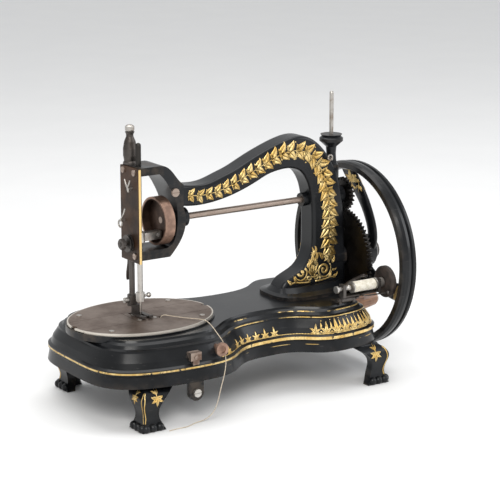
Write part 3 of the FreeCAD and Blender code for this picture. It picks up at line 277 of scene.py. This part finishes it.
def face_brass():
    """Face plate: a dark brown front whose colour is a painted reflection of the brown wooden wall, with its
    sawn edges kept bright.
    """
    coat = Coat("face_brass", Specular_IOR_Level=0.25)
    x, y, z = coat.axes(coat.place())
    low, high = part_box("face_plate")
    side = 1 - coat.band(y, low.y + 0.15 * MM, high.y - 0.15 * MM, 0.05 * MM)
    cloudy = coat.cloud(48, 7, 0.66)
    marks = coat.cloud(800, 2, 0.5, (1, 1, 0.1))
    # painted reflection: the broad front is coloured dark brown, mottled by cloudy, to stand for the wooden
    # wall mirrored in it
    front = coat.tint(coat.between(cloudy, 0.35, 0.66), (0.060, 0.031, 0.017), (0.022, 0.013, 0.009))
    colour = coat.tint(side, front, (0.86, 0.62, 0.27))
    coat.use(Base_Color=colour, Roughness=0.34 + cloudy * 0.2 + marks * 0.08, Metallic=0.05 + side * 0.9)
    return coat.relief(marks, 0.0001, 0.3).material


CAM_Z = 0.182       # height of the cam's middle


def cam_bronze():
    coat = Coat("cam_bronze", Metallic=0.9)
    cloudy = coat.cloud(90, 6, 0.65)
    rings = coat.cloud(1200, 2, 0.5, (0.2, 1, 1))
    colour = coat.tint(coat.between(cloudy, 0.36, 0.64), (0.40, 0.25, 0.185), (0.19, 0.115, 0.085))
    colour = coat.tint(coat.edge() * 0.12, colour, (0.66, 0.47, 0.37))
    x, y, z = coat.axes(coat.place())
    out = y * y + (z - CAM_Z) * (z - CAM_Z)
    # painted shade: inside this radius from the shaft, the cam's cup is darkened to stand for the shadow
    # that falls in it
    painted_shade_inside = 1 - coat.between(out, 0.0218 ** 2, 0.0224 ** 2)
    colour = coat.tint(painted_shade_inside * 0.82, colour, (0.030, 0.021, 0.017))
    coat.use(Base_Color=colour, Roughness=0.32 + cloudy * 0.2 + rings * 0.06)
    return coat.relief(rings, 0.0001, 0.4).material


def thread_cotton(name, pale, deep):
    coat = Coat(name, Sheen_Weight=0.3, Sheen_Roughness=0.5)
    fluff = coat.cloud(2600, 3, 0.6)
    twist = coat.cloud(300, 4, 0.6)
    colour = coat.tint(coat.between(twist, 0.35, 0.65), pale, deep)
    coat.use(Base_Color=colour, Roughness=0.75 + fluff * 0.2)
    return coat.relief(fluff, 0.0002, 0.8).material


def tyre_brown():
    coat = Coat("tyre_brown")
    crumb = coat.cloud(1100, 4, 0.7)
    shade = coat.cloud(120, 5)
    colour = coat.tint(coat.between(shade, 0.35, 0.68), (0.016, 0.012, 0.010), (0.048, 0.034, 0.028))
    coat.use(Base_Color=colour, Roughness=0.52 + crumb * 0.3)
    return coat.relief(crumb, 0.0003, 0.6).material


def grip_wood():
    coat = Coat("grip_wood", Coat_Weight=0.35, Coat_Roughness=0.2)
    grain = coat.cloud(170, 6, 0.62, (0.09, 1, 1))
    pores = coat.between(coat.cloud(900, 3, 0.6, (0.05, 1, 1)), 0.58, 0.68)
    colour = coat.tint(coat.between(grain, 0.34, 0.68), (0.30, 0.135, 0.055), (0.115, 0.045, 0.02))
    colour = coat.tint(pores * 0.7, colour, (0.04, 0.016, 0.008))
    coat.use(Base_Color=colour, Roughness=0.34 + grain * 0.2 + pores * 0.2)
    return coat.relief(grain - pores, 0.0002, 0.6).material


def floor_card():
    coat = Coat("floor_card")
    fleck = coat.cloud(9, 3)
    colour = coat.tint(fleck, (0.80, 0.80, 0.80), (0.84, 0.84, 0.835))
    coat.use(Base_Color=colour, Roughness=0.7 + fleck * 0.1)
    return coat.material


NEEDLE_X = -134.0
BRIGHT, STAINED = (0.46, 0.44, 0.41), (0.20, 0.15, 0.11)     # clean and stained steel
LOOK = {
    "plain_japan": black_japan("plain_japan"),
    "bed_japan": black_japan("bed_japan", bed_lines),
    "gold_leaf": gold_leaf(),
    "bright_steel": steel("bright_steel", BRIGHT, STAINED, (0.44, 0.70), 0.26),
    "shaft_steel": steel("shaft_steel", (0.34, 0.27, 0.225), (0.15, 0.095, 0.07), (0.40, 0.66), 0.30,
                         (0.15, 1, 1)),
    "dark_steel": steel("dark_steel", (0.095, 0.085, 0.078), (0.036, 0.027, 0.022), (0.40, 0.70), 0.34),
    "needle_steel": steel("needle_steel", BRIGHT, STAINED, (0.44, 0.70), 0.26, black_above=0.236),
    "gear_iron": steel("gear_iron", (0.030, 0.027, 0.025), (0.014, 0.011, 0.009), rub=0.0),
    "plate_steel": plate_steel(),
    "face_brass": face_brass(),
    "cam_bronze": cam_bronze(),
    "winding_cotton": thread_cotton("winding_cotton", (0.80, 0.76, 0.66), (0.62, 0.57, 0.46)),
    "thread_cotton": thread_cotton("thread_cotton", (0.60, 0.51, 0.39), (0.44, 0.36, 0.26)),
    "tyre_brown": tyre_brown(),
    "grip_wood": grip_wood(),
}
SLOT_LOOK = {"black_japan": "plain_japan", "thread_white": "winding_cotton", "thread_tan": "thread_cotton"}
NODE_LOOK = {"bed_casting": "bed_japan", "top_shaft": "shaft_steel",
             "drive_rod": "shaft_steel", "winder_bracket": "dark_steel", "regulator_knob": "cam_bronze",
             "wheel_gear": "gear_iron", "shaft_pinion": "gear_iron", "needle_bar": "needle_steel",
             "head_screws": "shaft_steel", "skirt_shield": "shaft_steel"}
for entry in frame["record"]["subparts"]:
    look = NODE_LOOK.get(entry["node"], SLOT_LOOK.get(entry["material_slot"], entry["material_slot"]))
    body = frame["nodes"][entry["node"]]
    body.data.materials.clear()
    body.data.materials.append(LOOK[look])


# ---- making pieces ------------------------------------------------------------------
def piece(name, points, faces, look, body, smooth=True, thick=0.0):
    mesh = bpy.data.meshes.new(name)
    mesh.from_pydata([tuple(p) for p in points], [], faces)
    mesh.materials.append(LOOK[look])
    mesh.validate()
    if smooth:
        mesh.shade_smooth()
    made = bpy.data.objects.new(name, mesh)
    bpy.context.scene.collection.objects.link(made)
    if thick:
        skin = made.modifiers.new("leaf", "SOLIDIFY")
        skin.thickness, skin.offset = thick, -1
    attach(made, body)
    return made


def feeler(node):
    """Something to find a casting's surface with."""
    mesh = frame["nodes"][node].data
    return BVHTree.FromPolygons([v.co.copy() for v in mesh.vertices],
                                [tuple(p.vertices) for p in mesh.polygons])


def along(points, steps):
    """Even points on a smooth line through the given ones, each with its direction."""
    rail = [Vector(p) for p in points]
    rail = [2 * rail[0] - rail[1], *rail, 2 * rail[-1] - rail[-2]]
    fine = []
    for a, b, c, d in zip(rail, rail[1:], rail[2:], rail[3:]):
        for i in range(24):
            t = i / 24
            fine.append(0.5 * ((2 * b) + (c - a) * t + (2 * a - 5 * b + 4 * c - d) * t * t
                               + (3 * b - a - 3 * c + d) * t ** 3))
    fine.append(rail[-2])
    run = [0.0]
    for p, q in zip(fine, fine[1:]):
        run.append(run[-1] + (q - p).length)
    made, k = [], 0
    for i in range(steps):
        want = run[-1] * i / (steps - 1)
        while k < len(run) - 2 and run[k + 1] < want:
            k += 1
        share = (want - run[k]) / max(run[k + 1] - run[k], 1e-9)
        made.append((fine[k].lerp(fine[k + 1], share), (fine[k + 1] - fine[k]).normalized()))
    return made


class Gilding:
    """Flat gold figures, drawn in millimetres on a plane and then laid on a casting."""

    def __init__(self):
        self.points, self.faces = [], []

    def ribbon(self, line, widths, across=2):
        """A strip along a line, as wide each side as its widths say."""
        first = len(self.points)
        count = len(line)
        for i, p in enumerate(line):
            ahead = line[min(i + 1, count - 1)] - line[max(i - 1, 0)]
            side = Vector((-ahead.y, ahead.x)).normalized()
            half = widths[i] if hasattr(widths, "__len__") else widths
            for j in range(across + 1):
                self.points.append(p + side * half * (2 * j / across - 1))
        row = across + 1
        for i in range(count - 1):
            for j in range(across):
                a = first + i * row + j
                self.faces.append((a, a + 1, a + row + 1, a + row))

    def leaf(self, root, angle, length, width, curl=0.25, split=True):
        """A pointed leaf in two halves, with a bare rib between them."""
        for side in ((-1, 1) if split else (0,)):
            line, widths = [], []
            for i in range(8):
                t = i / 7
                bulge = math.sin(math.pi * min(1, t * 1.02) ** 0.72) ** 0.85 * width / 2
                reach = length * t
                bend = angle + curl * t * t
                spine = Vector((math.cos(bend), math.sin(bend))) * reach
                off = Vector((-math.sin(bend), math.cos(bend)))
                rib = 0.22 + 0.10 * (1 - t)
                if side:
                    inner, outer = rib / 2, max(bulge, rib / 2 + 0.05)
                    line.append(root + spine + off * side * (inner + outer) / 2)
                    widths.append(max((outer - inner) / 2, 0.03))
                else:
                    line.append(root + spine)
                    widths.append(max(bulge, 0.05))
            self.ribbon(line, widths, 1 if side else 2)

    def scroll(self, centre, radius, turns, start, sense, width):
        """A spiral that thickens outwards and ends in a round eye."""
        steps = int(26 * turns)
        line, widths = [], []
        for i in range(steps + 1):
            t = i / steps
            r = radius * (0.16 + 0.84 * t)
            a = start + sense * 2 * math.pi * turns * (1 - t)
            line.append(centre + Vector((math.cos(a), math.sin(a))) * r)
            widths.append(width * (0.5 + 0.7 * math.sin(math.pi * min(t + 0.12, 1))))
        self.ribbon(line, widths)
        self.dot(line[0], width * 1.7)

    def dot(self, centre, radius):
        across = [2 * i / 6 - 1 for i in range(7)]
        self.ribbon([centre + Vector((radius * a, 0)) for a in across],
                    [max(0.02, radius * math.sqrt(max(0, 1 - a ** 2))) for a in across])

    def lay(self, name, body, onto):
        """onto turns a drawn point into a place just above the casting, or None where there's no metal."""
        placed = [onto(p) for p in self.points]
        keep = [f for f in self.faces if all(placed[i] is not None for i in f)]
        used = sorted({i for f in keep for i in f})
        order = {old: new for new, old in enumerate(used)}
        return piece(name, [placed[i] for i in used], [tuple(order[i] for i in f) for f in keep],
                     "gold_leaf", body, thick=0.00025)


LEAF_RISE = 0.16 * MM

# ---- the loose thread ---------------------------------------------------------------
ROUTE = [(-120.2, -14, 84), (-119.8, -14.4, 90.6), (-112, -22, 89.4), (-104, -33, 88.9),
         (-97, -43, 89.2), (-93, -55, 90.5), (-94, -68, 88), (-94, -79, 82), (-91.2, -86, 74.5),
         (-91.2, -87.3, 65), (-93, -92.8, 57), (-97, -95, 44), (-101, -94.5, 31), (-103.5, -94, 19),
         (-107, -91.5, 8), (-114, -88.5, 1.2), (-126, -88.5, 0.5), (-139, -95, 0.5),
         (-149, -93.5, 0.5), (-159, -95, 0.5)]
line = bpy.data.curves.new("loose_thread", "CURVE")
line.dimensions = "3D"
line.bevel_depth = 0.4 * MM
line.bevel_resolution = 3
line.resolution_u = 12
line.use_fill_caps = True
strand = line.splines.new("NURBS")
strand.points.add(len(ROUTE) - 1)
for knot, spot in zip(strand.points, ROUTE):
    knot.co = (*at(*spot), 1)
strand.order_u = 3
strand.use_endpoint_u = True
line.materials.append(LOOK["thread_cotton"])
thread = bpy.data.objects.new("loose_thread", line)
bpy.context.scene.collection.objects.link(thread)
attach(thread, "frame")
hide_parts("under_thread")


# ---- gold garland on the arm --------------------------------------------------------
def on_side(node, axis, face, start):
    """Lays a drawn point on the side of a node that looks along an axis, 0 for X and 1 for Y.

    start is the coordinate along that axis from which the surface is felt for.
    """
    skin = feeler(node)
    ray = Vector((-face, 0, 0)) if axis == 0 else Vector((0, -face, 0))

    def onto(p):
        if axis == 0:
            place = Vector((start, p.x * MM, p.y * MM))
        else:
            place = Vector(((p.x + SHIFT) * MM, start, p.y * MM))
        hit, normal, _, _ = skin.ray_cast(place, ray)
        if hit is None or normal[axis] * face < 0.35:
            return None
        return hit + normal * LEAF_RISE
    return onto


GARLAND = [(-85, 206), (-70, 204), (-50, 206), (-30, 212), (-8, 221.5), (12, 230), (30, 236),
           (47, 236.5), (61, 231), (72, 220), (79.5, 205), (84, 188), (86, 170), (86.5, 150),
           (86.5, 132), (86, 121)]


def away(turn, much):
    """How far a leaf that stands at a turn from the middle curls away from it."""
    return much * ((turn > 0) - (turn < 0))


def garland():
    """Pairs of ivy leaves along the arm and down the pillar, ending in a tuft."""
    work = Gilding()
    stops = along([Vector((*p, 0)) for p in GARLAND], 27)
    work.ribbon([p.to_2d() for p, _ in stops], 0.38)
    for i, (spot, way) in enumerate(stops[:-1]):
        share = i / (len(stops) - 1)
        size = 10.4 + 5.0 * min(1, share * 1.6) - (2.0 if share > 0.93 else 0)
        lean = math.atan2(way.y, way.x)
        root = spot.to_2d()
        for side in (-1, 1):
            wide = 0.58 + chance.uniform(-0.08, 0.1)
            work.leaf(root, lean + side * wide, size * chance.uniform(0.92, 1.06), size * 0.54, side * 0.22)
            work.leaf(root + way.to_2d() * 1.2, lean + side * (wide + 0.85), size * 0.50, size * 0.24,
                      side * 0.3, False)
        off = Vector((-math.sin(lean), math.cos(lean)))
        if i % 2 == 1 and share > 0.3:
            for side in (-1, 1):
                work.dot(root - way.to_2d() * 2.0 + off * side * size * 0.62, 0.7)
    end = stops[-1][0].to_2d()
    for turn in (-1.1, -0.5, 0.5, 1.1, 0.0):
        work.leaf(end + Vector((0, 1)), -math.pi / 2 + turn, 9.5 - abs(turn) * 2, 3.6, away(turn, 0.3))
    return work


def pillar_scrolls():
    """The pair of volutes at the foot of the pillar, with a leafy crown between them."""
    work = Gilding()
    mid = 66.0
    for side in (-1, 1):
        work.scroll(Vector((mid + side * 14.0, 107.0)), 9.4, 1.7, math.pi / 2 - side * 0.9, -side, 1.15)
        work.scroll(Vector((mid + side * 4.8, 100.8)), 3.8, 1.15, math.pi / 2 + side * 0.4, side, 0.8)
        arm = [(3.0, 96.0), (9, 96.2), (16, 96.8), (23, 98.0), (29, 96.5)]
        work.ribbon([p.to_2d() for p, _ in along([Vector((mid + side * d, h, 0)) for d, h in arm], 14)], 0.9)
        for d, h, turn, size in ((8, 97.5, 0.9, 6), (20, 98.5, 0.6, 7), (26, 98.0, 0.2, 7),
                                 (24.0, 113.0, 0.7, 8), (19.0, 117.0, 1.1, 9), (12, 118, 1.7, 10),
                                 (24.5, 105.5, -0.2, 6), (6.0, 111, 1.8, 9), (4.0, 119.0, 1.15, 9),
                                 (3.0, 127.0, 1.2, 7)):
            angle = turn if side > 0 else math.pi - turn
            work.leaf(Vector((mid + side * d, h)), angle, size, size * 0.42, side * 0.5)
    for tier, share in ((103.0, 1.0), (114.0, 0.8), (124.0, 0.6)):
        for turn, size in ((-0.8, 9), (-0.4, 12), (0, 15), (0.4, 12), (0.8, 9)):
            work.leaf(Vector((mid, tier)), math.pi / 2 + turn, size * share, size * share * 0.36,
                      away(turn, 0.12))
    for d in (-2.2, 0, 2.2):
        work.dot(Vector((mid + d, 101.0)), 0.9)
    return work


for face, tag in ((-1, "front"), (1, "back")):
    on_arm = on_side("arm_casting", 1, face, face * 0.08)
    garland().lay("arm_garland_" + tag, "frame", on_arm)
    pillar_scrolls().lay("pillar_scrolls_" + tag, "frame", on_arm)


# ---- gold fringe on the bed's skirt -------------------------------------------------
bed_skin = feeler("bed_casting")


def outline_at(height):
    """The bed's outline at one height: its points anticlockwise from the rightmost, closed, and the
    distance run to each."""
    cut = bmesh.new()
    cut.from_mesh(frame["nodes"]["bed_casting"].data)
    bmesh.ops.remove_doubles(cut, verts=cut.verts, dist=1e-6)
    section = bmesh.ops.bisect_plane(cut, geom=cut.verts[:] + cut.edges[:] + cut.faces[:], dist=1e-7,
                                     plane_co=(0, 0, height), plane_no=(0, 0, 1))["geom_cut"]
    edges = [e for e in section if isinstance(e, bmesh.types.BMEdge)]
    left, loops = set(edges), []
    while left:
        edge = left.pop()
        loop, tip = [edge.verts[0], edge.verts[1]], edge.verts[1]
        while True:
            more = [e for e in tip.link_edges if e in left]
            if not more:
                break
            left.discard(more[0])
            tip = more[0].other_vert(tip)
            loop.append(tip)
        loops.append([v.co.copy() for v in loop])
    loop = max(loops, key=lambda pts: max(p.x for p in pts) - min(p.x for p in pts) + len(pts) * 1e-6)
    cut.free()
    ring = loop[:-1]
    if sum(p.x * q.y - q.x * p.y for p, q in zip(loop, loop[1:])) < 0:
        ring.reverse()
    first = max(range(len(ring)), key=lambda i: (round(ring[i].x, 6), ring[i].y))
    ring = ring[first:] + ring[:first]
    ring.append(ring[0])
    run = [0.0]
    for p, q in zip(ring, ring[1:]):
        run.append(run[-1] + (q - p).length)
    return ring, run


edge_loop, edge_run = outline_at(0.066)


def on_skirt(p):
    """Lays a drawn point (distance round the bed, height) on the skirt."""
    s = (p.x * MM) % edge_run[-1]
    k = next(i for i in range(len(edge_run) - 1) if edge_run[i + 1] >= s)
    share = (s - edge_run[k]) / max(edge_run[k + 1] - edge_run[k], 1e-9)
    spot = edge_loop[k].lerp(edge_loop[k + 1], share)
    ahead, behind = edge_loop[(k + 3) % (len(edge_loop) - 1)], edge_loop[k - 2]
    way = (ahead - behind).normalized()
    out = Vector((way.y, -way.x, 0))
    start = Vector((spot.x, spot.y, p.y * MM)) + out * 0.012
    hit, normal, _, _ = bed_skin.ray_cast(start, -out)
    if hit is None or normal.dot(out) < 0.15:
        return None
    return hit + normal * LEAF_RISE


def edge_x(s):
    """How far along the machine, in the drawing, the place s millimetres round the bed is."""
    k = next((j for j in range(len(edge_run) - 1) if edge_run[j + 1] >= s * MM), 0)
    return edge_loop[k].x / MM - SHIFT


FRINGE_FOOT = 61.0      # the height that the fringe stands at
FRINGE_LEFT = -92.0     # it starts here, right of the cloth plate
TALL_FROM = 20.0        # and has a second row from here on


def bed_fringe():
    """Leaves that stand on a line round the skirt: tall on the right lobe, low along the waist."""
    work = Gilding()
    total = edge_run[-1] / MM
    pitch = 11.0
    count = int(total / pitch)
    for i in range(count):
        s = i * total / count
        x = edge_x(s)
        if x < FRINGE_LEFT:
            continue
        tall = 8.0 + 5.2 * max(0.0, min(1.0, (x - 10) / 40))
        if chance.random() < (0.05 if x > TALL_FROM else 0.18):
            continue
        base = Vector((s, FRINGE_FOOT))
        for turn in (-1.25, -0.62, 0.0, 0.62, 1.25):
            size = tall * (1.0 - 0.40 * abs(turn)) * chance.uniform(0.88, 1.08)
            work.leaf(base, math.pi / 2 + turn, size, max(1.9, size * 0.30), away(turn, 0.3), tall > 8)
        if x > TALL_FROM:
            work.dot(base + Vector((pitch / 2, 1.4)), 0.9)
            work.leaf(base + Vector((pitch / 2, 5.0)), math.pi / 2, tall * 0.5, 1.7, 0.1, False)
            work.dot(base + Vector((pitch / 2, tall * 0.5 + 6.2)), 0.5)
    for i in range(int(total / 3)):
        s = i * 3.0
        if edge_x(s) > FRINGE_LEFT - 8 and chance.random() > 0.08:
            work.ribbon([Vector((s + d, FRINGE_FOOT - 0.7)) for d in (0, 1.2, 2.4, 3.2)], 0.36)
    return work


bed_fringe().lay("bed_fringe", "frame", on_skirt)


# ---- gold flowers on the wheel's spokes and the legs --------------------------------
def flower(work, centre, up, size):
    """Five petals and a stalk with two small leaves; up is the way that it stands."""
    rise = Vector((math.cos(up), math.sin(up)))
    for turn in (-1.5, -0.75, 0.0, 0.75, 1.5):
        work.leaf(centre, up + turn, size * (1 - 0.18 * abs(turn)), size * 0.34, away(turn, 0.25))
    work.ribbon([centre - rise * size * t for t in (0, 0.3, 0.6, 0.95)], [0.45, 0.4, 0.3, 0.2])
    for turn in (-0.8, 0.8):
        work.leaf(centre - rise * size * 0.35, up + math.pi + turn, size * 0.55, size * 0.2)


WHEEL_Z = 117.0
INNER_SIDE, OUTER_SIDE = 116.5, 150.0       # clear of the spokes, left and right of the wheel


def spoke_flowers(face, tag):
    """One flower near the rim on each spoke; the spokes are felt for round a circle."""
    beside = INNER_SIDE if face < 0 else OUTER_SIDE
    onto = on_side("hand_wheel", 0, face, (SHIFT + beside) * MM)
    reach, groups = 76.0, []
    for a in range(360):
        turn = math.radians(a)
        if onto(Vector((reach * math.sin(turn), WHEEL_Z + reach * math.cos(turn)))):
            if groups and a - groups[-1][-1] <= 2:
                groups[-1].append(a)
            else:
                groups.append([a])
    work = Gilding()
    for group in groups:
        if len(group) < 40:
            a = math.radians(sum(group) / len(group))
            spot = Vector((reach * math.sin(a), WHEEL_Z + reach * math.cos(a)))
            flower(work, spot, math.atan2(math.cos(a), math.sin(a)), 13.0)
    work.lay("spoke_flowers_" + tag, "hand_wheel", onto)


spoke_flowers(-1, "inner")
spoke_flowers(1, "outer")

LEG_OUT = [(38, 4.0), (35, 6.5), (26, 8.0), (14, 5.0), (8, 6.0)]    # how far a leg stands out at each height
LEG_CORNERS = ((100.0, 1, "right"), (-176.0, -1, "left"))           # where a leg's corner is along the bed
LEG_SPAN = 80.0                                                     # and across it
LEG_FLOWER_Z = 33.0


def leg_line(work, corner, side):
    """A fine line down the edge of a leg."""
    edge = along([Vector((corner + side * (out - 1.6), z, 0)) for z, out in LEG_OUT], 30)
    work.ribbon([p.to_2d() for p, _ in edge], 0.45)


for node, side_y, tag in (("front_legs", -1, "front"), ("back_legs", 1, "back")):
    work = Gilding()
    for corner, side_x, end in LEG_CORNERS:
        flower(work, Vector((corner - side_x * 8, LEG_FLOWER_Z)), -math.pi / 2, 9.0)
        leg_line(work, corner, side_x)
    work.lay("leg_gilding_" + tag, "frame", on_side(node, 1, side_y, side_y * 0.13))
    for corner, side_x, end in LEG_CORNERS:
        work = Gilding()
        leg_line(work, side_y * LEG_SPAN, side_y)
        flower(work, Vector((side_y * (LEG_SPAN - 7), LEG_FLOWER_Z)), -math.pi / 2, 7.5)
        start = (corner + SHIFT + side_x * 20) * MM
        work.lay("leg_gilding_" + tag + "_" + end, "frame", on_side(node, 0, side_x, start))


# ---- thread wound on the bobbin -----------------------------------------------------
def wound_thread(node, name, body, pitch, strand_r):
    """Close turns of thread over the winding's own shape, a little uneven."""
    low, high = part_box(node)
    middle = (low + high) / 2
    radius = (high.z - low.z) / 2 - strand_r
    turns = int((high.x - low.x - 2 * strand_r) / pitch)
    sides, around = 5, 18
    points, faces = [], []
    steps = turns * around
    for i in range(steps + 1):
        a = 2 * math.pi * i / around
        x = low.x + strand_r + (high.x - low.x - 2 * strand_r) * i / steps
        r = radius - abs(math.sin(x * 900)) * 0.00012
        hub = Vector((x, middle.y + r * math.cos(a), middle.z + r * math.sin(a)))
        out = Vector((0, math.cos(a), math.sin(a)))
        for j in range(sides):
            b = 2 * math.pi * j / sides
            points.append(hub + out * math.cos(b) * strand_r + Vector((math.sin(b) * strand_r, 0, 0)))
        if i:
            for j in range(sides):
                k, m = (i - 1) * sides + j, (i - 1) * sides + (j + 1) % sides
                faces.append((k, m, m + sides, k + sides))
    faces.append(tuple(range(sides)))
    faces.append(tuple(steps * sides + j for j in reversed(range(sides))))
    return piece(name, points, faces, "winding_cotton", body)


wound_thread("bobbin_winding", "bobbin_thread", "winder_spindle", 0.00055, 0.00032)

# ---- floor --------------------------------------------------------------------------
sheet = bpy.data.meshes.new("floor")
sheet.from_pydata([(x, y, -0.0002) for x, y in ((-6, -6), (6, -6), (6, 6), (-6, 6))], [], [(0, 1, 2, 3)])
sheet.materials.append(floor_card())
floor = bpy.data.objects.new("floor", sheet)
bpy.context.scene.collection.objects.link(floor)
